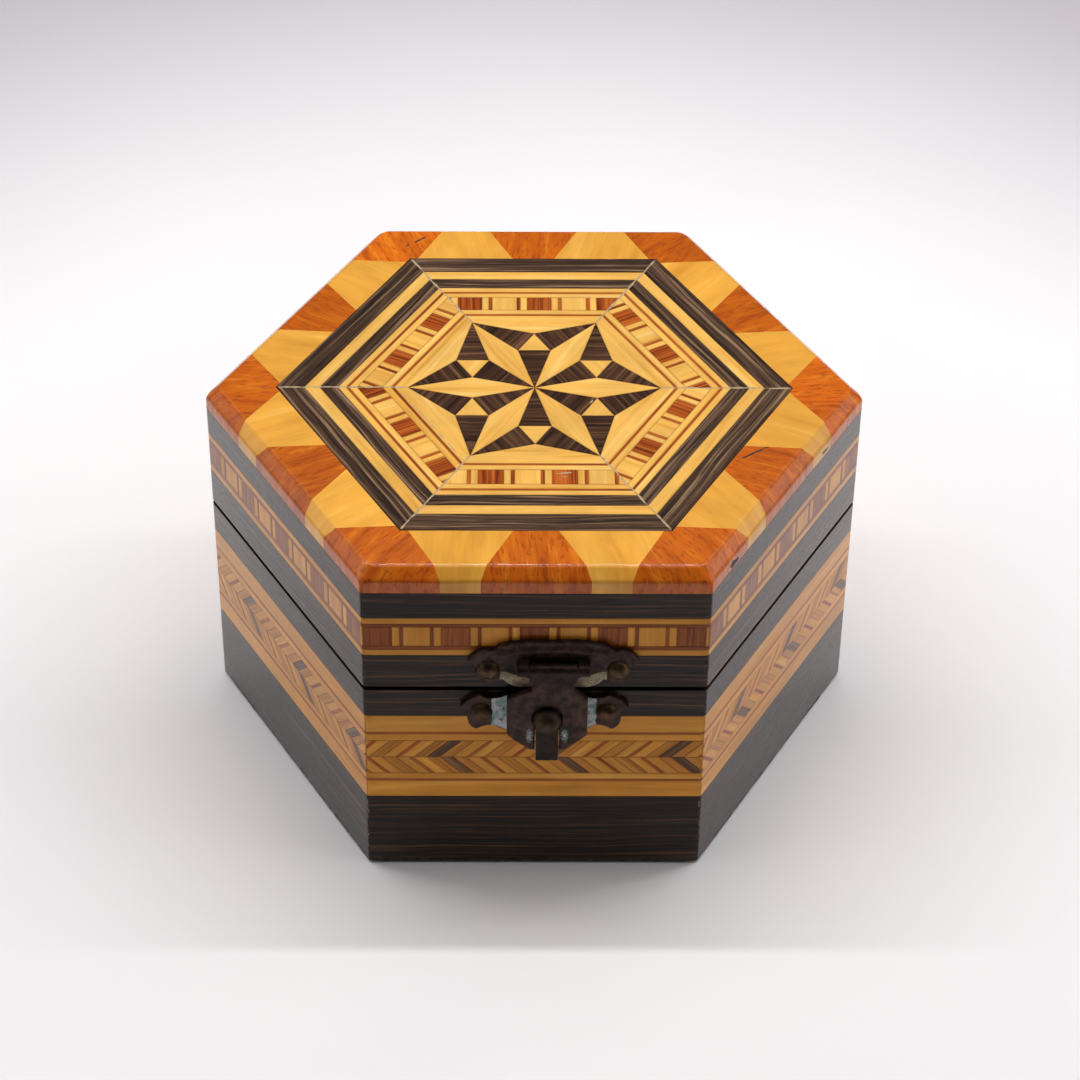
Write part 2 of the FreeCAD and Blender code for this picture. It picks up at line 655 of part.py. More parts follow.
catch_holes = [(side * NAILS["catch"][0], NAILS["catch"][1], hole) for side in (1, -1)]
catch_holes.append((of("catch_shift"), 0, of("spindle") + of("pin_run")))
rivet_room = disc("rivet_room", "Sizes.rivet_radius + Sizes.pin_run", "Sizes.rivet + Sizes.pin_run")
catch_body = plate(front_sketch(scalloped(CATCH_EDGE), catch_holes, PLATE_X, "Sizes.catch_axis"))
node(cut(catch_body, [rivet_room]), "catch_plate")


def turned(name, profile, x, z):
    """A turned piece about an axis that points out of the front face; profile is (radius, out)."""
    body = doc.addObject("PartDesign::Body", name)
    plane = next(item for item in body.Origin.OriginFeatures if item.Role == "XY_Plane")
    sketch = body.newObject("Sketcher::SketchObject", f"{name}_profile")
    sketch.AttachmentSupport = (plane, "")
    sketch.MapMode = "FlatFace"
    sketch.addGeometry(profile, False)
    turn = body.newObject("PartDesign::Revolution", f"{name}_turn")
    turn.Profile = sketch
    turn.ReferenceAxis = (sketch, ["V_Axis"])
    turn.Angle = 360
    body.Tip = turn
    body.Placement.Rotation = FreeCAD.Rotation(UP, 180)
    return place(body, x, FRONT, z)


def dome_profile(radius, low, height, shank, foot):
    """Half a domed head on a shank: up the axis, over the dome, in to the shank and down to its foot."""
    shoulder = flat((radius * math.sqrt(0.5), low + height * math.sqrt(0.5)))
    corners = [(radius, low), (shank, low), (shank, foot), (0, foot), (0, low + height)]
    points = [flat(corner) for corner in corners]
    dome = Part.Arc(points[-1], shoulder, points[0])
    return [dome] + [Part.LineSegment(a, b) for a, b in zip(points, points[1:])]


def domed_nails(label, at, middle, height):
    """Two nails with domed heads, either side of the middle."""
    head, foot = of("plate"), of("plate") - of("nail_length")
    nails = []
    for side in ("-", "+"):
        profile = dome_profile(of("dome_radius"), head, of("dome_height"), of("nail_radius"), foot)
        nails.append(turned("nail", profile, f"{middle} {side} {at[0]}", f"{height} + {at[1]}"))
    return group(label, nails)


domed_nails("hasp_nails", NAILS["hasp"], HASP_X, "Sizes.hasp_axis")
domed_nails("catch_nails", NAILS["catch"], PLATE_X, "Sizes.catch_axis")

# The catch: domed head and tail in front of the tongue, on a spindle riveted behind its plate.
knob_profile = dome_profile(of("catch_head"), of("catch_out"), of("catch_dome"), of("spindle"), 0)
knob = turned("catch_knob", knob_profile, TONGUE_X, "Sizes.catch_axis")
rivet = disc("rivet", "Sizes.rivet_radius", "Sizes.rivet")
tail = box(across("Sizes.tail_half", TONGUE_X),
           (out("(Sizes.catch_out + Sizes.plate)"), out("Sizes.catch_out")),
           ("Sizes.catch_axis - Sizes.tail_reach", "Sizes.catch_axis"))
node(fuse([knob, rivet, tail]), "catch_knob_and_tail")

# ---- Check and write every piece

doc.recompute()
for item in doc.Objects:
    if {"Invalid", "Error"} & set(item.State):
        raise RuntimeError(f"{item.Name} ({item.Label}) failed: {item.State}")
for piece in nodes:
    if piece.Shape.isNull() or not piece.Shape.isValid() or not piece.Shape.Solids:
        raise RuntimeError(f"{piece.Label} has no valid shape")
os.makedirs("parts", exist_ok=True)
for piece in nodes:
    piece.Shape.exportStep(f"parts/{piece.Label}.step")
print(len(nodes), "pieces,", sum(len(piece.Shape.Solids) for piece in nodes), "solids")
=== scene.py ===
import json
import math
import random

import bmesh
import bpy
from mathutils import Matrix, Vector, noise

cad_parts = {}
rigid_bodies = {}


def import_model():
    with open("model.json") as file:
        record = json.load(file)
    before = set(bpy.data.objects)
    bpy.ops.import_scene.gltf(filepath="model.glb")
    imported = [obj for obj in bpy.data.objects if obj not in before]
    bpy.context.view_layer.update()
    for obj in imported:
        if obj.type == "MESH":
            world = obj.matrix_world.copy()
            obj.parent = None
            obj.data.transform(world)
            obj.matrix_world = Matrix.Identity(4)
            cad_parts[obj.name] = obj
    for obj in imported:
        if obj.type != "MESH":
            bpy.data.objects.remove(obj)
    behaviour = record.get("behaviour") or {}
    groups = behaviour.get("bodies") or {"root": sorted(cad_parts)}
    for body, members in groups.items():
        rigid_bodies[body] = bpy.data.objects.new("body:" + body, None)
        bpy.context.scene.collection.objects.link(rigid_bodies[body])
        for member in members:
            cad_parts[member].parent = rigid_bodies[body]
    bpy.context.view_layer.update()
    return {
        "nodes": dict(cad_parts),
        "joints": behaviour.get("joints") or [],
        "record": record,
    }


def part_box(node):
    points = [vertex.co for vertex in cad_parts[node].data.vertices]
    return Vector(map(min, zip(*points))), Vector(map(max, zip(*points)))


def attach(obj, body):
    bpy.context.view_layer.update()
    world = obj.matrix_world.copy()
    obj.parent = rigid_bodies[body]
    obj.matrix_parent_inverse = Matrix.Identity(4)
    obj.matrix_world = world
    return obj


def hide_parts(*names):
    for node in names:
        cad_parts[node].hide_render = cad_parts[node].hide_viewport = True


# The looks of a hexagonal marquetry box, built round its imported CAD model.
# The model is in metres. The origin is the middle of the underside, +Z is up and the hasp is on
# the -Y face. Side faces are numbered anticlockwise from the front one, seen from above.

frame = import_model()

MM = 0.001
UP = Vector((0, 0, 1))
SIDES = 6
TURN = 60  # degrees from one side face to the next
MITRE = math.radians(30)
SAME = 0.01 * MM  # points this close are one point

SKIN_LOW, SKIN_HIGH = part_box("base_lower_wenge_band")
SIDE, APOTHEM = SKIN_HIGH.x, SKIN_HIGH.y
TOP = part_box("top_outer_wenge_band")[1].z
RIM_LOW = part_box("rim_red_blocks")[0].z
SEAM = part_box("base_wall_front")[1].z
BODY_OF = {node: body for body, members in frame["record"]["behaviour"]["bodies"].items() for node in members}


# ---- Places on the box


def face_axes(number):
    """Directions to the right and outwards of a side face, as seen from outside it."""
    turn = Matrix.Rotation(math.radians(TURN * number), 3, "Z")
    return turn @ Vector((1, 0, 0)), turn @ Vector((0, -1, 0))


CORNER_ROUND = 0.8 * MM
ROUND_START = SIDE / 2 - CORNER_ROUND * math.tan(MITRE)
ROUND_STEPS = 4


def on_side(number):
    """Maps (right, up, out) on a side face into the row frame, with the box's corners rounded."""
    right, outward = face_axes(number)

    def mapped(point):
        over = abs(point.x) - ROUND_START
        along, out = point.x, point.z
        if over > 0:
            share = min(over / (SIDE / 2 - ROUND_START), 1)
            angle = MITRE * share
            bend = ROUND_START + CORNER_ROUND * math.sin(angle) + point.z * math.tan(MITRE) * share
            along = math.copysign(bend, point.x)
            out -= CORNER_ROUND * (1 - math.cos(angle))
        return right * along + outward * (APOTHEM + out) + UP * point.y

    return mapped


def on_top(point):
    """Maps (x, y, height over the lid's top) into the row frame."""
    return Vector((point.x, point.y, TOP + point.z))


def sector(x, y):
    """Number of the side face that a point of the top belongs to."""
    return round(math.degrees(math.atan2(x, -y)) / TURN) % SIDES


# ---- Making pieces


def linked(name, data):
    """A new object with that data, in the scene."""
    made = bpy.data.objects.new(name, data)
    bpy.context.scene.collection.objects.link(made)
    return made


def mesh_of(name, bm):
    """The working mesh bm as a mesh of its own."""
    mesh = bpy.data.meshes.new(name)
    bm.to_mesh(mesh)
    bm.free()
    return mesh


def close_up(bm, loops):
    """Faces between the loops of a stack, and one over each end."""
    bm.faces.new(loops[0][::-1])
    bm.faces.new(loops[-1])
    for low, high in zip(loops, loops[1:]):
        for i in range(len(low)):
            j = (i + 1) % len(low)
            bm.faces.new((low[i], low[j], high[j], high[i]))


def finish_piece(name, mesh, material, node, also=()):
    """Put a finished mesh on its body in place of its CAD node."""
    piece = linked(name, mesh)
    mesh.materials.clear()
    mesh.materials.append(material)
    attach(piece, BODY_OF[node])
    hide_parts(node, *also)
    return piece


def slot_of(node):
    """The record's material slot of a node."""
    return frame["nodes"][node].data.materials[0].name.split(".")[0]


def soften(bm, limit=25):
    """Shade a mesh smooth, with sharp edges where it turns by more than the limit in degrees."""
    for face in bm.faces:
        face.smooth = True
    for edge in bm.edges:
        edge.smooth = edge.calc_face_angle(0) < math.radians(limit)


def cad_copy(node, weld=True):
    """The node's CAD mesh, with flat faces whole."""
    bm = bmesh.new()
    bm.from_mesh(frame["nodes"][node].data)
    if weld:
        bmesh.ops.remove_doubles(bm, verts=bm.verts, dist=SAME)
    bmesh.ops.dissolve_limit(bm, angle_limit=math.radians(0.5), verts=bm.verts, edges=bm.edges)
    return bm


def evaluated(name, bm, *modifiers):
    """A mesh after modifiers, each given as (kind, settings)."""
    mesh = mesh_of(name, bm)
    holder = linked(name, mesh)
    for kind, settings in modifiers:
        modifier = holder.modifiers.new(kind.lower(), kind)
        for key, value in settings.items():
            setattr(modifier, key, value)
    graph = bpy.context.evaluated_depsgraph_get()
    made = bpy.data.meshes.new_from_object(holder.evaluated_get(graph))
    bpy.data.objects.remove(holder)
    bpy.data.meshes.remove(mesh)
    made.name = name
    return made


# ---- Marquetry slips: each is a thin slab with softened arrises where it shows

SLIP_DEPTH = 1.0 * MM
ARRIS = 0.035 * MM
EDGE_WIDTH = 0.2 * MM


def outlines(node, top):
    """Outlines of a node's slips where they show: (face number, corners as flat vectors)."""
    bm = cad_copy(node, weld=False)
    found = []
    for face in bm.faces:
        centre = face.calc_center_median()
        if top:
            if face.normal.z > 0.99 and abs(centre.z - TOP) < SAME:
                found.append((sector(centre.x, centre.y), [Vector((v.co.x, v.co.y)) for v in face.verts]))
            continue
        number = sector(centre.x, centre.y)
        right, outward = face_axes(number)
        if face.normal.dot(outward) > 0.99 and abs(centre.dot(outward) - APOTHEM) < SAME:
            found.append((number, [Vector((v.co.dot(right), v.co.z)) for v in face.verts]))
    bm.free()
    return found


def inset(outline, width):
    """The outline moved inwards, or None where it is too narrow for that."""
    count = len(outline)
    moved = []
    for i, point in enumerate(outline):
        before = (point - outline[i - 1]).normalized()
        after = (outline[(i + 1) % count] - point).normalized()
        inward = Vector((-before.y - after.y, before.x + after.x))
        moved.append(point + inward * width / max(1 + before.dot(after), 0.05))
    for i in range(count):
        j = (i + 1) % count
        if (moved[j] - moved[i]).dot(outline[j] - outline[i]) <= 0:
            return None
    return moved


def grain_way(outline, mode, number, top):
    """Direction of a slip's fibres in its flat plane."""
    if mode == "long":
        count = len(outline)
        edges = [outline[(i + 1) % count] - outline[i] for i in range(count)]
        return max(edges, key=lambda edge: edge.length).normalized()
    if mode == "ray":
        tip = max(outline, key=lambda point: point.length)
        return tip.normalized()
    if not top:
        return Vector((1, 0)) if mode == "along" else Vector((0, 1))
    right, outward = face_axes(number)
    way = right if mode == "along" else outward
    return Vector((way.x, way.y))


def eye_way(outline):
    """Direction across a star triangle: along its shortest edge."""
    count = len(outline)
    edges = [outline[(i + 1) % count] - outline[i] for i in range(count)]
    return min(edges, key=lambda edge: edge.length).normalized()


def add_slip(bm, layers, outline, way, seed, tone):
    """A slab under the outline; its layers carry the grain's own coordinates, a tone and how near a joint is."""
    grain, tones, edges = layers
    rings = [(outline, -SLIP_DEPTH, 1.0), (outline, -ARRIS, 1.0)]
    lip = inset(outline, ARRIS)
    inner = inset(outline, EDGE_WIDTH)
    if lip:
        rings.append((lip, 0.0, 1.0 if inner else 0.5))
    if inner:
        rings.append((inner, 0.0, 0.0))
    across = Vector((-way.y, way.x))
    loops = []
    for corners, height, edge in rings:
        loop = []
        for corner in corners:
            vert = bm.verts.new((corner.x, corner.y, height))
            vert[grain] = (corner.dot(way) / MM, corner.dot(across) / MM, seed)
            vert[tones] = tone
            vert[edges] = edge
            loop.append(vert)
        loops.append(loop)
    close_up(bm, loops)


def slips(node, material, mode, top=False):
    """One node's slips, finished, as one piece."""
    chance = random.Random(node)
    whole = bmesh.new()
    by_face = {number: [] for number in range(SIDES)}
    for number, outline in outlines(node, top):
        by_face[number].append(outline)
    mesh = bpy.data.meshes.new(node + "_finished")
    for number, found in by_face.items():
        bm = bmesh.new()
        layers = (bm.verts.layers.float_vector.new("grain"), bm.verts.layers.float.new("tone"),
                  bm.verts.layers.float.new("edge"))
        for outline in found:
            way = eye_way(outline) if mode == "across" else grain_way(outline, mode, number, top)
            add_slip(bm, layers, outline, way, chance.uniform(0, 500), chance.random())
        place = on_top
        if not top:
            place = on_side(number)
            for step in range(ROUND_STEPS):
                cut = ROUND_START + (SIDE / 2 - ROUND_START) * step / ROUND_STEPS
                for side in (-1, 1):
                    bmesh.ops.bisect_plane(bm, geom=bm.verts[:] + bm.edges[:] + bm.faces[:],
                                           plane_co=(side * cut, 0, 0), plane_no=(1, 0, 0), dist=1e-7)
        for vert in bm.verts:
            vert.co = place(vert.co)
        bm.to_mesh(mesh)
        whole.from_mesh(mesh)
        bm.free()
    soften(whole)
    whole.to_mesh(mesh)
    whole.free()
    return finish_piece(node + "_finished", mesh, material, node)


# ---- Rim: solid blocks with rounded arrises

RIM_ROUND = 1.2 * MM
JOINT_SHARE = 0.037
ARRIS_SHARE = 0.39


def outer_skin(face):
    """Whether a rim block's face shows: its top, its chamfer or its side."""
    if face.normal.z > 0.99:
        return True
    centre = face.calc_center_median()
    _, outward = face_axes(sector(centre.x, centre.y))
    return face.normal.dot(outward) > 0.6 and centre.dot(outward) > APOTHEM - 2.5 * MM and face.normal.z > -0.01


def solids_of(mesh):
    """Lists of the vertex numbers of each separate solid in a mesh."""
    owner = list(range(len(mesh.vertices)))

    def root(number):
        while owner[number] != number:
            owner[number] = owner[owner[number]]
            number = owner[number]
        return number

    for edge in mesh.edges:
        first, second = (root(number) for number in edge.vertices)
        owner[max(first, second)] = min(first, second)
    found = {}
    for number in range(len(owner)):
        found.setdefault(root(number), []).append(number)
    return list(found.values())


def rim_blocks(node, material):
    """The rim's blocks of one wood: rounded where they show, barely eased at the joints, each with its own grain."""
    bm = cad_copy(node)
    weight = bm.edges.layers.float.new("bevel_weight_edge")
    for edge in bm.edges:
        if len(edge.link_faces) != 2:
            continue
        shown = [outer_skin(face) for face in edge.link_faces]
        if all(shown) and edge.calc_face_angle(0) > math.radians(10):
            rise = abs((edge.verts[0].co - edge.verts[1].co).normalized().z)
            edge[weight] = 1 if 0.5 < rise < 0.9 else ARRIS_SHARE
        elif any(shown):
            edge[weight] = JOINT_SHARE
    for face in bm.faces:
        face.smooth = True
    mesh = evaluated(
        node + "_finished", bm,
        ("BEVEL", dict(limit_method="WEIGHT", width=RIM_ROUND, segments=4, use_clamp_overlap=True)),
        ("TRIANGULATE", dict(quad_method="BEAUTY", ngon_method="BEAUTY")),
        ("WEIGHTED_NORMAL", dict(mode="FACE_AREA", weight=100)))
    mesh.attributes.new("grain", "FLOAT_VECTOR", "POINT")
    mesh.attributes.new("tone", "FLOAT", "POINT")
    grain, tones = mesh.attributes["grain"], mesh.attributes["tone"]
    chance = random.Random(node)
    for block in solids_of(mesh):
        centre = sum((mesh.vertices[number].co for number in block), Vector()) / len(block)
        way = Vector((centre.x, centre.y)).normalized()
        way = Matrix.Rotation(math.radians(chance.uniform(-12, 12)), 2) @ way
        seed, tone = chance.uniform(0, 500), chance.random()
        for number in block:
            spot = mesh.vertices[number].co
            down = (TOP - spot.z) / MM
            along, across = spot.xy.dot(way) / MM + down, (spot.x * way.y - spot.y * way.x) / MM
            grain.data[number].vector = (along, across, seed)
            tones.data[number].value = tone
    return finish_piece(node + "_finished", mesh, material, node)


# ---- Strokes: glue in the joints, a scratch, and painted shadow in a crack and small voids

STROKE_STEP = 0.22 * MM
STROKE_PROUD = 0.012 * MM
STROKE_ROOT = 0.15 * MM


def add_stroke(bm, place, start, end, width, seed, coverage, wander=0.12 * MM):
    """An irregular line of filler along a straight joint, broken where the noise says."""
    start, end = Vector(start), Vector(end)
    count = max(int((end - start).length / STROKE_STEP), 2)
    way = (end - start).normalized()
    across = Vector((-way.y, way.x))
    runs, run = [], []
    for i in range(count + 1):
        at = start.lerp(end, i / count)
        here = Vector((i * STROKE_STEP / MM, seed, 0))
        shift = noise.noise(here * 0.35) * wander
        half = width * 0.5 * (0.75 + 0.9 * noise.noise(here * 0.9 + UP * 7))
        taper = min(i, count - i, 3) / 3
        shown = noise.noise(here * 0.5 + UP * 31) * 0.5 + 0.5 < coverage and 0 < i < count
        if shown:
            run.append((at + across * shift, max(half * taper, 0.03 * MM)))
        if run and (not shown or i == count):
            runs.append(run)
            run = []
    for run in runs:
        if len(run) < 2:
            continue
        loops = []
        for at, half in run:
            loop = []
            for side, height in ((-1, -STROKE_ROOT), (1, -STROKE_ROOT), (1, 0), (0.5, STROKE_PROUD),
                                 (-0.5, STROKE_PROUD), (-1, 0)):
                spot = at + across * half * side
                loop.append(bm.verts.new(place(Vector((spot.x, spot.y, height)))))
            loops.append(loop)
        close_up(bm, loops)


def strokes(name, material, body, lines):
    """A piece of strokes, each (place, start, end, width, coverage) in millimetres."""
    bm = bmesh.new()
    chance = random.Random(name)
    for place, start, end, width, coverage in lines:
        add_stroke(bm, place, Vector(start) * MM, Vector(end) * MM, width * MM, chance.uniform(0, 99), coverage)
    bmesh.ops.recalc_face_normals(bm, faces=bm.faces)
    mesh = mesh_of(name, bm)
    piece = linked(name, mesh)
    mesh.materials.append(material)
    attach(piece, body)
    return piece


# ---- Pressed and cast metal

HASP_JOINT = next(joint for joint in frame["joints"] if joint["name"] == "hasp_hinge")
CATCH_JOINT = next(joint for joint in frame["joints"] if joint["name"] == "catch_turn")


def fleck(point, scale, seed):
    """Noise from 0 to 1 at a scale in millimetres."""
    return noise.noise(point / (scale * MM) + Vector((seed, seed * 1.7, -seed))) * 0.5 + 0.5


def smooth(low, high, value):
    """Nought at low and one at high, with an eased change between; low may be the greater."""
    share = min(max((value - low) / (high - low), 0), 1)
    return share * share * (3 - 2 * share)


def beaten(node, material, voxel, shape=None, bloom_and_shade=None, rub_and_light=None, relief=0.05, rounds=2):
    """A metal node remeshed finely, its arrises worn, its faces uneven and shaped by a height map."""
    bm = cad_copy(node)
    mesh = evaluated(node + "_finished", bm, ("REMESH", dict(mode="VOXEL", voxel_size=voxel * MM)))
    bm = bmesh.new()
    bm.from_mesh(mesh)
    for _ in range(rounds):
        bmesh.ops.smooth_vert(bm, verts=bm.verts, factor=0.5, use_axis_x=True, use_axis_y=True, use_axis_z=True)
    bm.normal_update()
    blooms_and_shades, rubs_and_lights = bm.verts.layers.float.new("bloom_and_shade"), bm.verts.layers.float.new("rub_and_light")
    moves = []
    for vert in bm.verts:
        at = vert.co.copy()
        lift = (fleck(at, 0.9, 3) - 0.5) * relief + (fleck(at, 0.35, 8) - 0.5) * relief * 0.4
        facing = smooth(0.2, 0.8, -vert.normal.y)
        if shape:
            lift += shape(at.x, at.z) * facing
        # The bloom layer carries verdigris above nought and painted shade below it.
        vert[blooms_and_shades] = bloom_and_shade(at.x, at.z) * facing if bloom_and_shade else 0.0
        vert[rubs_and_lights] = rub_and_light(at) if rub_and_light else 0.0
        moves.append(at + vert.normal * lift * MM)
    for vert, at in zip(bm.verts, moves):
        vert.co = at
    for face in bm.faces:
        face.smooth = True
    bm.to_mesh(mesh)
    bm.free()
    return finish_piece(node + "_finished", mesh, material, node)


def local(pivot, x, z):
    """Millimetres right of and above a pivot on the front face."""
    return (x - pivot[0]) / MM, (z - pivot[2]) / MM


def bump_at(u, v, cu, cv, ru, rv):
    """A soft round bump of height one."""
    return math.exp(-((u - cu) / ru) ** 2 - ((v - cv) / rv) ** 2)


def hasp_shape(x, z):
    """A raised bead along the top, sunk ovals beside the barrel and bosses under the nails."""
    u, v = local(HASP_JOINT["pos_m"], x, z)
    bead = math.exp(-((v - 2.9 + 0.012 * u * u) / 0.75) ** 2) * smooth(9.5, 7.5, abs(u))
    ovals = bump_at(abs(u), v, 6.4, -1.0, 1.3, 0.9)
    boss = bump_at(abs(u), v, 9.4, -0.8, 2.4, 2.2)
    return 0.34 * bead - 0.3 * ovals + 0.12 * boss


def hasp_bloom_and_shade(x, z):
    """Pale along the lower lobes, and below nought for painted shade in the recesses beside the barrel and on the
    barrel.
    """
    u, v = local(HASP_JOINT["pos_m"], x, z)
    lobe = smooth(1.5, 0.9, abs(v - (-3.9 + (abs(u) - 3) * 0.33)))
    pale = lobe * smooth(2.4, 3.4, abs(u)) * smooth(8.2, 7.2, abs(u))
    painted_shade = bump_at(abs(u), v, 5.6, -0.4, 1.7, 1.2) + bump_at(u, v, 0, 1.0, 4.0, 0.9)
    return pale - min(painted_shade, 1.0) * (1 - pale)


def catch_shape(x, z):
    """Bosses under the nails and a dish between each and the tongue."""
    u, v = local(CATCH_JOINT["pos_m"], x, z)
    dish = smooth(5.2, 6.4, abs(u)) * smooth(8.2, 7.4, abs(u))
    boss = bump_at(abs(u + 0.4), v, 9.2, -0.4, 2.0, 2.4)
    return 0.16 * boss - 0.2 * dish


def catch_bloom(x, z):
    """Verdigris on either side of the tongue, with ragged edges."""
    u, v = local(CATCH_JOINT["pos_m"], x, z)
    reach = 8.1 if u < 0 else 7.2
    from_middle = abs(u) + 0.5 * (fleck(Vector((x, 0, z)), 1.0, 5) - 0.5)
    return smooth(reach + 0.3, reach - 0.3, from_middle) * smooth(3.0, 5.0, from_middle + 0.25 * v)


def on_tongue(x, z):
    """Right of the tongue's own middle, and above its pin."""
    return local(CATCH_JOINT["pos_m"], x, z)[0], local(HASP_JOINT["pos_m"], x, z)[1]


def tongue_shape(x, z):
    """A raised middle below the neck."""
    u, v = on_tongue(x, z)
    rib = smooth(6.4, 4.6, abs(u)) * smooth(-2.2, -5.0, v)
    return 0.16 * rib


def tongue_bloom_and_shade(x, z):
    """Verdigris beside the ball, and below nought for painted shade on the barrel."""
    u, v = on_tongue(x, z)
    return 0.53 * bump_at(abs(u), v, 2.6, -12.2, 0.8, 1.9) - 0.6 * smooth(-3.2, -1.8, v)


def knob_rub_and_light(at):
    """The ball of the catch is rubbed brighter than its tail, and painted lighter for the light its dome catches."""
    u, v = local(CATCH_JOINT["pos_m"], at.x, at.z)
    proud = (CATCH_JOINT["pos_m"][1] - at.y) / MM
    return smooth(2.3, 1.6, math.hypot(u, v)) * smooth(-0.5, 0.6, proud)


# ---- Cloth: linings and the felt under the box


def cloth(node, name, material, rows, thick, pile=0.06):
    """A sheet from a grid of (mapped point, direction of its pile); thick is its thickness."""
    bm = bmesh.new()
    upper, lower = [], []
    for row in rows:
        line_up, line_low = [], []
        for point, pile_way, soft in row:
            rise = (fleck(point, 3.0, 11) - 0.5) * pile * MM - soft
            line_up.append(bm.verts.new(point + pile_way * (thick + rise)))
            line_low.append(bm.verts.new(point + pile_way * 0.02 * MM))
        upper.append(line_up)
        lower.append(line_low)
    count = len(upper)
    for r in range(count - 1):
        for c in range(len(upper[r]) - 1):
            bm.faces.new((upper[r][c], upper[r][c + 1], upper[r + 1][c + 1], upper[r + 1][c]))
            bm.faces.new((lower[r][c], lower[r + 1][c], lower[r + 1][c + 1], lower[r][c + 1]))
    for above, below in ((upper[0], lower[0]), (upper[-1], lower[-1])):
        for c in range(len(above) - 1):
            bm.faces.new((above[c], above[c + 1], below[c + 1], below[c]))
    bmesh.ops.remove_doubles(bm, verts=bm.verts, dist=SAME)
    bmesh.ops.recalc_face_normals(bm, faces=bm.faces)
    soften(bm, 50)
    piece = finish_piece(name, mesh_of(name, bm), material, node)
    return piece


def hexagon_point(corner_radius, ring, turn):
    """A point on a hexagonal ring, at a turn from 0 to 6 round it."""
    side = int(turn) % SIDES
    share = turn - int(turn)
    first, second = [Matrix.Rotation(math.radians(TURN * k), 3, "Z") @ Vector((corner_radius * ring, 0, 0))
                     for k in (side, side + 1)]
    return first.lerp(second, share)


def hexagon_cloth(node, material, up):
    """A flat hexagonal sheet whose pile points up or down."""
    low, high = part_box(node)
    radius, thick = high.x, high.z - low.z
    base = low.z if up else high.z
    rings, steps = 16, 10
    rows = []
    for ring in range(rings + 1):
        share = ring / rings
        row = []
        for step in range(SIDES * steps + 1):
            point = hexagon_point(radius, share, step / steps % SIDES)
            point.z = base
            soft = 0.3 * thick * smooth(0.985, 1.0, share)
            row.append((point, UP if up else -UP, soft))
        rows.append(row)
    return cloth(node, node + "_cloth", material, rows, thick)


def wall_cloth(node, material):
    """A strip round the six inner walls, its pile pointing inwards."""
    low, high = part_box(node)
    radius, thick = high.x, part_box("floor_lining")[1].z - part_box("floor_lining")[0].z
    levels, steps = 8, 12
    rows = []
    for level in range(levels + 1):
        share = level / levels
        row = []
        for step in range(SIDES * steps + 1):
            turn = step / steps % SIDES
            point = hexagon_point(radius, 1, turn)
            point.z = low.z + (high.z - low.z) * share
            inward = -Vector((point.x, point.y, 0)).normalized()
            soft = 0.3 * thick * (smooth(0.12, 0.0, share) + smooth(0.88, 1.0, share))
            row.append((point, inward, soft))
        rows.append(row)
    return cloth(node, node + "_cloth", material, rows, thick)


# ---- Materials


class Shader:
    """A material whose nodes are added one by one; inputs are sockets or plain values."""

    def __init__(self, name):
        self.material = bpy.data.materials.new(name)
        self.material.use_nodes = True
        self.tree = self.material.node_tree
        self.surface = self.tree.nodes["Principled BSDF"]

    def feed(self, socket, value):
        if isinstance(value, bpy.types.NodeSocket):
            self.tree.links.new(value, socket)
        else:
            socket.default_value = value

    def add(self, kind, inputs=(), output=0, **settings):
        """A node; inputs are (name or index, value) pairs. Returns one of its outputs."""
        made = self.tree.nodes.new("ShaderNode" + kind)
        for key, value in settings.items():
            setattr(made, key, value)
        for key, value in inputs:
            self.feed(made.inputs[key], value)
        return made.outputs[output]

    def maths(self, operation, first, second=0.5, clamp=False):
        return self.add("Math", [(0, first), (1, second)], operation=operation, use_clamp=clamp)

    def attribute(self, name, output="Fac"):
        return self.add("Attribute", output=output, attribute_name=name)

    def millimetres(self):
        """Places on the object, in millimetres."""
        return self.stretched(self.add("TexCoord", output="Object"), (1000, 1000, 1000))

    def stretched(self, vector, scale, shift=(0, 0, 0)):
        moved = self.add("VectorMath", [(0, vector), (1, shift)], operation="ADD")
        return self.add("VectorMath", [(0, moved), (1, scale)], operation="MULTIPLY")

    def noise(self, vector, scale=1.0, detail=2.0, rough=0.5):
        return self.add("TexNoise", [("Vector", vector), ("Scale", scale), ("Detail", detail),
                                     ("Roughness", rough)], output="Fac")

    def span(self, value, low, high, out_low=0.0, out_high=1.0):
        """The value mapped smoothly from one range to another, and held at its ends."""
        return self.add("MapRange", [("Value", value), ("From Min", low), ("From Max", high),
                                     ("To Min", out_low), ("To Max", out_high)], interpolation_type="SMOOTHSTEP")

    def mix(self, share, first, second, blend="MIX"):
        made = self.tree.nodes.new("ShaderNodeMix")
        made.data_type = "RGBA"
        made.blend_type = blend
        self.feed(made.inputs[0], share)
        self.feed(made.inputs[6], tinted(first))
        self.feed(made.inputs[7], tinted(second))
        return made.outputs[2]

    def grey(self, value):
        return self.add("CombineColor", [(0, value), (1, value), (2, value)])

    def bump(self, height, depth_mm):
        return self.add("Bump", [("Height", height), ("Distance", depth_mm * MM), ("Strength", 1.0)])

    def finish(self, **inputs):
        for key, value in inputs.items():
            self.feed(self.surface.inputs[key.replace("_", " ")], value)
        return self.material


def tinted(value):
    """A colour given as red, green and blue on the 0-255 display scale, made linear."""
    if isinstance(value, bpy.types.NodeSocket):
        return value
    return tuple(linear(level / 255) for level in value) + (1.0,)


def linear(level):
    """A display level from 0 to 1 as an amount of light."""
    return level / 12.92 if level <= 0.04045 else ((level + 0.055) / 1.055) ** 2.4


COAT_INDEX = 1.38
COAT_ROUGH = (0.05, 0.14)
RIM_COAT = dict(satin=1.0, ripple_depth=0.065, coat_rough=(0.025, 0.07))


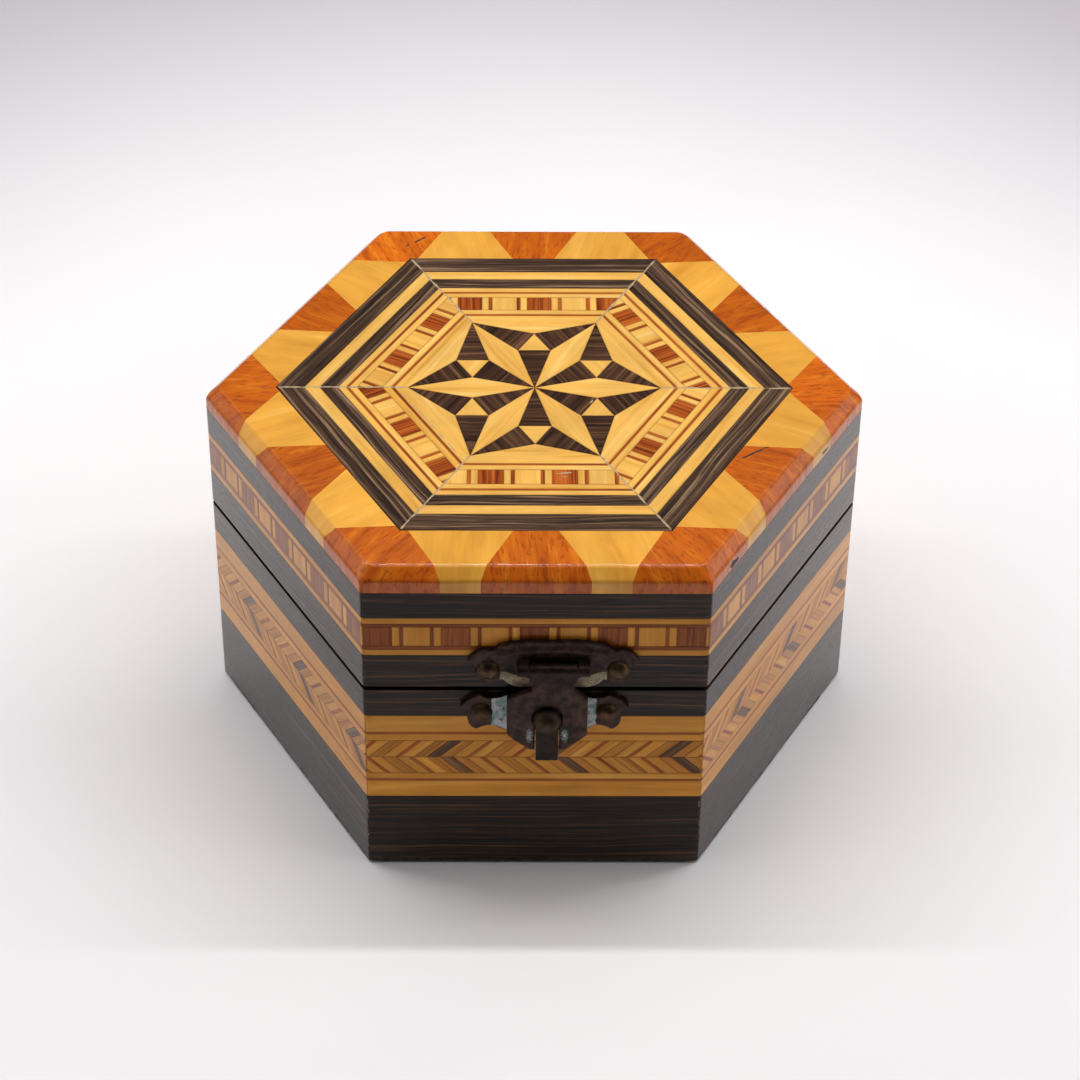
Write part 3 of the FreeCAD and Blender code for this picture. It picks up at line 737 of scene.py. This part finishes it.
def lacquered(name, dark, middle, light, streak=1.2, long_streak=0.03, contrast=1.0, fibre=9.0, fibre_depth=0.14,
              pores=0.0, pore_size=(0.35, 5.0), pore_colour=(30, 15, 10), tone=0.12, joint=(60, 35, 20),
              joint_share=0.55, sway=0.35, satin=0.4, ripple_depth=0.012,
              coat_rough=COAT_ROUGH):
    """Polished wood: broad streaks, fine fibres and open pores along each slip's own grain.

    The worn lacquer shines in full only at a slant; satin is the share that is left when it is seen squarely.
    """
    s = Shader(name)
    raw = s.attribute("grain", "Vector")
    bend = s.noise(s.stretched(raw, (0.05, 0.12, 1)), detail=1)
    offset = s.add("CombineXYZ", [(1, s.span(bend, 0.2, 0.8, -sway, sway))])
    grain = s.add("VectorMath", [(0, raw), (1, offset)], operation="ADD")
    broad = s.noise(s.stretched(grain, (long_streak, streak, 1)), detail=4, rough=0.6)
    fine = s.noise(s.stretched(grain, (0.22, fibre, 1), (0, 0, 37)), detail=3, rough=0.6)
    cloud = s.noise(s.stretched(grain, (0.12, 0.2, 1), (0, 0, 91)), detail=2)
    half = 0.17 / contrast
    low = s.mix(s.span(broad, 0.5 - half, 0.5), dark, middle)
    colour = s.mix(s.span(broad, 0.5, 0.5 + half), low, light)
    shade = s.span(fine, 0.3, 0.7, 1 - fibre_depth, 1 + fibre_depth)
    shade = s.maths("MULTIPLY", shade, s.span(cloud, 0.3, 0.7, 0.93, 1.06))
    slip_tone = s.attribute("tone")
    shade = s.maths("MULTIPLY", shade, s.span(slip_tone, 0, 1, 1 - tone, 1 + tone))
    colour = s.mix(1.0, colour, s.grey(shade), "MULTIPLY")
    height = fine
    if pores:
        hole = s.noise(s.stretched(grain, (pore_size[0], pore_size[1], 1), (0, 0, 173)), detail=1)
        hole = s.span(hole, 0.66, 0.60 - 0.05 * pores, 1.0, 0.0)
        colour = s.mix(s.maths("MULTIPLY", hole, 0.85 * min(pores, 1.0)), colour, pore_colour)
        height = s.maths("SUBTRACT", fine, s.maths("MULTIPLY", hole, 1.5))
    edge = s.maths("MULTIPLY", s.attribute("edge"), joint_share, clamp=True)
    colour = s.mix(edge, colour, joint)
    place = s.add("TexCoord", output="Object")
    wipe = s.noise(s.stretched(place, (110, 110, 110)), detail=3, rough=0.6)
    ripple = s.noise(s.stretched(place, (650, 650, 650)), detail=4, rough=0.6)
    coat_height = s.maths("ADD", ripple, s.maths("MULTIPLY", fine, 0.25))
    slant = s.add("LayerWeight", output="Facing")
    return s.finish(Base_Color=colour, Roughness=s.span(fine, 0.3, 0.7, 0.42, 0.58), Specular_IOR_Level=0.08,
                    Normal=s.bump(height, 0.03), Coat_Weight=s.span(slant, 0.32, 0.66, satin, 1.0),
                    Coat_IOR=COAT_INDEX,
                    Coat_Roughness=s.span(wipe, 0.35, 0.75, *coat_rough),
                    Coat_Normal=s.bump(coat_height, ripple_depth))


def raw_wood():
    """The core boards: plain pale wood, grained along X, and darkened where the seam shows it: dust and painted
    shade of the recess.
    """
    s = Shader("core_board")
    place = s.millimetres()
    broad = s.noise(s.stretched(place, (0.03, 0.55, 0.9)), detail=4, rough=0.6)
    fine = s.noise(s.stretched(place, (0.3, 5.0, 7.0)), detail=3)
    colour = s.mix(s.span(broad, 0.3, 0.7), (196, 150, 102), (222, 184, 138))
    colour = s.mix(1.0, colour, s.grey(s.span(fine, 0.3, 0.7, 0.84, 1.08)), "MULTIPLY")
    reach = None
    for number in range(3):
        _, outward = face_axes(number)
        across = s.add("VectorMath", [(0, place), (1, outward)], output="Value", operation="DOT_PRODUCT")
        across = s.maths("ABSOLUTE", across)
        reach = across if reach is None else s.maths("MAXIMUM", reach, across)
    # Near the outer face, which shows only in the seam, the wood is darkened: dust and painted shade of the recess.
    outside = (APOTHEM - 1.6 * MM) / MM
    seam_dust_and_shade = s.span(s.maths("ADD", reach, s.maths("MULTIPLY", fine, 0.4)), outside, outside + 0.4)
    colour = s.mix(seam_dust_and_shade, colour, (22, 16, 13))
    return s.finish(Base_Color=colour, Roughness=s.span(fine, 0.3, 0.7, 0.6, 0.8), Normal=s.bump(fine, 0.05))


def bronze(name, dark, light, pale=((138, 178, 168), (212, 206, 210)), shine=0.48):
    """Dark patinated bronze with rubbed arrises, pale where the mesh says, and darkened where the mesh's values are
    below nought: painted shade.
    """
    s = Shader(name)
    place = s.millimetres()
    cloud = s.noise(place, 0.7, detail=4, rough=0.65)
    speck = s.noise(place, 3.5, detail=3, rough=0.7)
    colour = s.mix(s.span(cloud, 0.35, 0.68), dark, light)
    colour = s.mix(1.0, colour, s.grey(s.span(speck, 0.3, 0.7, 0.8, 1.2)), "MULTIPLY")
    worn = s.add("NewGeometry", output="Pointiness")
    rubbed = s.span(worn, 0.53, 0.62)
    colour = s.mix(s.maths("MULTIPLY", rubbed, 0.3), colour, (130, 100, 72))
    # The ball of the catch is lighter: rubbed metal, and painted light on its dome.
    colour = s.mix(s.attribute("rub_and_light"), colour, s.mix(s.span(cloud, 0.35, 0.65), (44, 32, 21), (70, 53, 33)))
    # Values of the bloom attribute below nought darken the metal: painted shade.
    colour = s.mix(1.0, colour, s.grey(s.span(s.attribute("bloom_and_shade"), -1, 0, 0.3, 1.0)), "MULTIPLY")
    bloom_and_shade = s.maths("MULTIPLY", s.attribute("bloom_and_shade"), s.span(speck, 0.2, 0.62, 0.45, 1.35), clamp=True)
    bloom_and_shade = s.span(bloom_and_shade, 0.3, 0.72)
    tint = s.mix(s.span(s.noise(place, 1.1, detail=2), 0.42, 0.6), *pale)
    tint = s.mix(s.span(s.noise(place, 1.9, detail=2), 0.58, 0.7), tint, (132, 104, 88))
    colour = s.mix(bloom_and_shade, colour, tint)
    metal = s.maths("MULTIPLY", s.maths("SUBTRACT", 1.0, bloom_and_shade), 0.75)
    rough = s.maths("ADD", s.span(speck, 0.3, 0.7, shine - 0.08, shine + 0.14), s.maths("MULTIPLY", bloom_and_shade, 0.25))
    return s.finish(Base_Color=colour, Metallic=metal, Roughness=rough,
                    Normal=s.bump(s.maths("ADD", speck, s.maths("MULTIPLY", bloom_and_shade, 0.6)), 0.03))


def napped(name, deep, raised, scale=2.2):
    """Short-piled cloth: a fuzzy sheen and brushed patches."""
    s = Shader(name)
    place = s.millimetres()
    brushed = s.noise(place, 0.12, detail=4, rough=0.6)
    tuft = s.noise(place, scale, detail=3, rough=0.7)
    colour = s.mix(s.span(brushed, 0.3, 0.7), deep, raised)
    colour = s.mix(1.0, colour, s.grey(s.span(tuft, 0.3, 0.7, 0.65, 1.25)), "MULTIPLY")
    return s.finish(Base_Color=colour, Roughness=0.95, Specular_IOR_Level=0.15, Sheen_Weight=0.7,
                    Sheen_Roughness=0.4, Sheen_Tint=s.mix(0.4, raised, (255, 255, 255)),
                    Normal=s.bump(tuft, 0.18))


def filler(name, colour, other):
    """Old glue and dust, or painted shadow in a void."""
    s = Shader(name)
    place = s.millimetres()
    speck = s.noise(place, 4.0, detail=3, rough=0.7)
    return s.finish(Base_Color=s.mix(s.span(speck, 0.35, 0.65), colour, other), Normal=s.bump(speck, 0.03),
                    Roughness=s.span(speck, 0.3, 0.7, 0.45, 0.7))


LEMON = dict(contrast=0.8, streak=0.6, fibre_depth=0.07, tone=0.05, joint=(120, 70, 30), joint_share=0.35)
lemonwood = lacquered("lemonwood_lacquered", (222, 160, 68), (239, 183, 90), (248, 202, 116), **LEMON)
# The upright faces get darker copies of the top's lemonwood and wenge: painted shade for the lesser light on them.
shaded_face_lemonwood = lacquered("shaded_face_lemonwood_lacquered", (206, 134, 40), (221, 149, 49), (235, 168, 68), **LEMON)
golden_wood = lacquered("golden_wood_lacquered", (176, 104, 28), (199, 126, 38), (215, 145, 54), contrast=0.9,
                        tone=0.08, joint=(110, 60, 25), joint_share=0.4)
WENGE = dict(streak=1.9, long_streak=0.02, contrast=1.05, fibre=7.0, pores=0.8, pore_size=(0.1, 3.4),
             joint=(24, 16, 12), joint_share=0.5)
wenge = lacquered("wenge_lacquered", (44, 30, 22), (76, 55, 41), (140, 110, 84), fibre_depth=0.3,
                  pore_colour=(32, 22, 16), **WENGE)
shaded_face_wenge = lacquered("shaded_face_wenge_lacquered", (24, 16, 11), (40, 27, 19), (88, 60, 42), fibre_depth=0.25,
                       pore_colour=(18, 12, 10), **WENGE)
star_wenge = lacquered("star_wenge_lacquered", (40, 24, 16), (72, 46, 30), (116, 80, 54), streak=1.6,
                       fibre_depth=0.22, pores=0.5, pore_size=(0.2, 4.0), pore_colour=(24, 14, 10), tone=0.16,
                       joint=(30, 20, 14), joint_share=0.4)
bone_wenge = lacquered("bone_wenge_lacquered", (70, 42, 22), (104, 68, 36), (142, 100, 56), streak=2.2,
                       fibre_depth=0.25, tone=0.30, joint=(60, 38, 22), joint_share=0.4)
red_line_wood = lacquered("red_line_lacquered", (140, 58, 14), (172, 80, 20), (196, 108, 38), fibre_depth=0.18,
                          tone=0.06, joint=(120, 60, 25), joint_share=0.3)
block_wood = lacquered("block_wood_lacquered", (116, 46, 12), (170, 78, 22), (194, 106, 40), streak=2.4,
                       contrast=1.3, fibre_depth=0.22, tone=0.14, joint=(90, 40, 15), joint_share=0.3)
brown_wood = lacquered("brown_wood_lacquered", (120, 54, 12), (148, 74, 18), (170, 92, 28), streak=1.6,
                       contrast=1.0, fibre_depth=0.14, tone=0.10, joint=(90, 42, 20), joint_share=0.4)
rim_red = lacquered("rim_red_lacquered", (176, 76, 8), (204, 98, 10), (222, 122, 24), streak=0.7, contrast=0.8,
                    long_streak=0.1, fibre_depth=0.08, pores=0.55, pore_size=(0.6, 2.6), pore_colour=(150, 58, 6),
                    tone=0.13, **RIM_COAT)
rim_yellow = lacquered("rim_yellow_lacquered", (222, 152, 52), (236, 168, 64), (246, 184, 82), streak=0.35,
                       contrast=0.7, fibre_depth=0.04, tone=0.05, **RIM_COAT)
core_wood = raw_wood()
dark_bronze = bronze("dark_bronze", (42, 29, 25), (76, 56, 48))
plate_bronze = bronze("plate_bronze", (40, 28, 24), (74, 54, 45), pale=((150, 134, 104), (184, 168, 136)))
black_bronze = bronze("black_bronze", (24, 17, 15), (48, 34, 29))
aged_brass = bronze("aged_brass", (42, 28, 17), (88, 63, 35), shine=0.4)
velvet = napped("red_velvet", (96, 10, 20), (142, 22, 34))
felt = napped("green_felt", (30, 62, 44), (48, 88, 62), scale=1.4)
pale_glue = filler("pale_glue", (196, 176, 140), (158, 134, 100))
# Near black, for painted shadow in the voids under the rim and along a crack.
painted_void_shadow = filler("painted_void_shadow", (14, 10, 9), (26, 18, 15))
foot_grime = filler("foot_grime", (20, 14, 11), (48, 36, 28))
worn_edge = filler("worn_edge", (96, 72, 52), (140, 112, 82))

# ---- The marquetry

SIDE_SLIPS = [
    (shaded_face_wenge, "along", ["base_lower_wenge_band", "base_upper_wenge_band", "lid_lower_wenge_band",
                           "lid_upper_wenge_band"]),
    (shaded_face_lemonwood, "along", ["base_lower_lemon_bands", "base_upper_lemon_bands", "lid_lemon_stringing"]),
    (brown_wood, "along", ["lid_strip_borders"]),
    (red_line_wood, "along", ["base_red_lines"]),
    (bone_wenge, "long", ["herringbone_wenge_slips"]),
    (golden_wood, "long", ["herringbone_golden_slips"]),
    (shaded_face_lemonwood, "long", ["herringbone_lemon_slips"]),
    (red_line_wood, "long", ["herringbone_red_slips"]),
    (brown_wood, "up", ["lid_strip_brown_pieces"]),
    (shaded_face_lemonwood, "up", ["lid_strip_lemon_pieces"]),
]
TOP_SLIPS = [
    (wenge, "along", ["top_outer_wenge_band", "top_inner_wenge_band"]),
    (lemonwood, "along", ["top_outer_lemon_band", "top_lemon_stringing", "star_field_pieces", "star_lemon_eyes"]),
    (red_line_wood, "along", ["top_red_lines"]),
    (block_wood, "up", ["top_strip_red_pieces"]),
    (lemonwood, "up", ["top_strip_lemon_pieces"]),
    (lemonwood, "ray", ["star_lemon_rays"]),
    (star_wenge, "across", ["star_wenge_triangles"]),
]
for top, table in ((False, SIDE_SLIPS), (True, TOP_SLIPS)):
    for material, mode, members in table:
        for node in members:
            slips(node, material, mode, top)
rim_blocks("rim_red_blocks", rim_red)
rim_blocks("rim_yellow_blocks", rim_yellow)


# ---- Glue in the mitres, small marks of age, and painted shadow in small voids and a crack


def polar(radius, degrees):
    """Right of and behind the middle, for a radius and an angle from +X."""
    return radius * math.cos(math.radians(degrees)), radius * math.sin(math.radians(degrees))


glue_lines = [(on_top, polar(19.0, TURN * k), polar(39.1, TURN * k), 0.36, 0.9) for k in range(SIDES)]
glue_lines += [(on_top, (-20.2, -1.2), (-11.0, -17.0), 0.22, 0.6), (on_top, (8.2, -4.2), (8.9, -2.9), 0.3, 1.0),
               (on_top, (8.6, -2.6), (9.0, -2.3), 0.5, 1.0), (on_top, (2.8, -20.9), (5.6, -20.5), 0.4, 0.6),
               (on_top, (3.2, -21.7), (5.0, -21.5), 0.25, 0.6)]
strokes("mitre_glue_lines", pale_glue, "lid", glue_lines)
right_face = on_side(1)
# Dark strokes in small voids under the rim and along a crack on the top: painted shadow.
strokes("lid_small_voids", painted_void_shadow, "lid",
        [(right_face, (-19.6, 55.3), (-16.4, 54.9), 1.1, 1.0), (right_face, (10.6, 55.3), (13.2, 55.0), 0.8, 1.0),
         (right_face, (11.0, 50.2), (11.4, 50.25), 0.35, 1.0), (right_face, (14.5, 49.3), (14.9, 49.35), 0.35, 1.0),
         (on_top, (30.2, -17.3), (34.8, -14.1), 0.35, 1.0), (on_top, (32.6, -15.7), (33.9, -14.9), 0.6, 1.0),
         (on_top, (-20.6, 37.0), (-17.0, 40.2), 0.35, 0.8)])
foot_marks = [(on_side(k), (-24.0, 0.75), (24.0, 0.7), 0.5, 0.55) for k in range(SIDES)]
strokes("base_foot_grime", foot_grime, "base", foot_marks)
corner_marks = [(on_side(k), (24.9, 1.5), (24.9, 13.8), 0.3, 0.42) for k in range(SIDES)]
corner_marks += [(on_side(k), (-24.9, 3.0), (-24.9, 16.0), 0.2, 0.25) for k in range(SIDES)]
strokes("base_corner_wear", worn_edge, "base", corner_marks)

# ---- Metalwork

beaten("hasp_plate", plate_bronze, 0.13, hasp_shape, hasp_bloom_and_shade)
beaten("hasp_tongue", dark_bronze, 0.13, tongue_shape, tongue_bloom_and_shade)
beaten("catch_plate", dark_bronze, 0.13, catch_shape, catch_bloom)
beaten("catch_knob_and_tail", black_bronze, 0.11, rub_and_light=knob_rub_and_light, relief=0.04)
beaten("hasp_nails", aged_brass, 0.11, relief=0.08)
beaten("catch_nails", aged_brass, 0.11, relief=0.08)
beaten("hinge_base_leaves", dark_bronze, 0.11, relief=0.03, rounds=1)
beaten("hinge_lid_leaves", dark_bronze, 0.11, relief=0.03, rounds=1)

# ---- Cloth, and the nodes whose CAD shape stays

hexagon_cloth("floor_lining", velvet, True)
hexagon_cloth("lid_top_lining", velvet, False)
hexagon_cloth("base_felt", felt, False)
wall_cloth("base_wall_lining", velvet)
wall_cloth("lid_wall_lining", velvet)
for name, node in frame["nodes"].items():
    if slot_of(name) == "core_wood":
        node.material_slots[0].material = core_wood
for name in ("hasp_pin", "hinge_pins", "hinge_base_nails", "hinge_lid_nails"):
    frame["nodes"][name].material_slots[0].material = aged_brass

# ---- Floor, light and camera

for stray in [item for item in bpy.data.objects if item.name in ("Cube", "Light", "Camera")]:
    bpy.data.objects.remove(stray)
floor_mesh = bpy.data.meshes.new("floor")
FLOOR = 3.0
floor_mesh.from_pydata([(-FLOOR, -FLOOR, 0), (FLOOR, -FLOOR, 0), (FLOOR, FLOOR, 0), (-FLOOR, FLOOR, 0)], [],
                       [(0, 1, 2, 3)])
floor = linked("floor", floor_mesh)
paper = Shader("pale_floor")
mottle = paper.noise(paper.stretched(paper.add("TexCoord", output="Object"), (9, 9, 9)), detail=3)
radius = paper.add("VectorMath", [(0, paper.add("TexCoord", output="Object"))], output="Value", operation="LENGTH")
pale = paper.mix(paper.span(mottle, 0.3, 0.7), (246, 242, 244), (249, 246, 247))
# Past a radius round the box the floor's colour darkens: painted shade for the fall-off of the light.
floor_mesh.materials.append(paper.finish(
    Base_Color=paper.mix(paper.span(radius, 0.116, 0.272), pale, (186, 180, 186)), Roughness=0.6,
    Specular_IOR_Level=0.2))


def softbox(name, place, width, depth, power, lean=0.0):
    """A lamp of that width (X) and depth (Y) that looks down, leant about Y by an angle in degrees."""
    lamp = bpy.data.lights.new(name, "AREA")
    lamp.shape = "RECTANGLE"
    lamp.size, lamp.size_y = width, depth
    lamp.energy = power
    holder = linked(name, lamp)
    holder.location = place
    holder.rotation_euler = (0, math.radians(lean), 0)


softbox("strip_light", (0.0, 0.15, 0.66), 1.3, 0.02, 3.6)
softbox("overhead_light", (0.0, 0.31, 1.0), 1.6, 1.2, 5.85)
softbox("left_light", (-0.8, 0.0, 0.42), 0.5, 0.7, 1.3, lean=-63)
softbox("right_light", (0.8, 0.0, 0.42), 0.5, 0.7, 1.95, lean=63)
world = bpy.data.worlds.new("studio")
world.use_nodes = True
world.node_tree.nodes["Background"].inputs["Color"].default_value = (0.98, 0.96, 0.98, 1)
world.node_tree.nodes["Background"].inputs["Strength"].default_value = 0.062
bpy.context.scene.world = world
bpy.context.scene.view_settings.view_transform = "Standard"

lens = bpy.data.cameras.new("camera")
lens.lens = 110.05
lens.sensor_width = 36
camera = linked("camera", lens)
camera.location = (-0.0048, -0.3987, 0.3611)
camera.rotation_euler = [math.radians(angle) for angle in (50.132, -0.5165, -0.414)]
bpy.context.scene.camera = camera
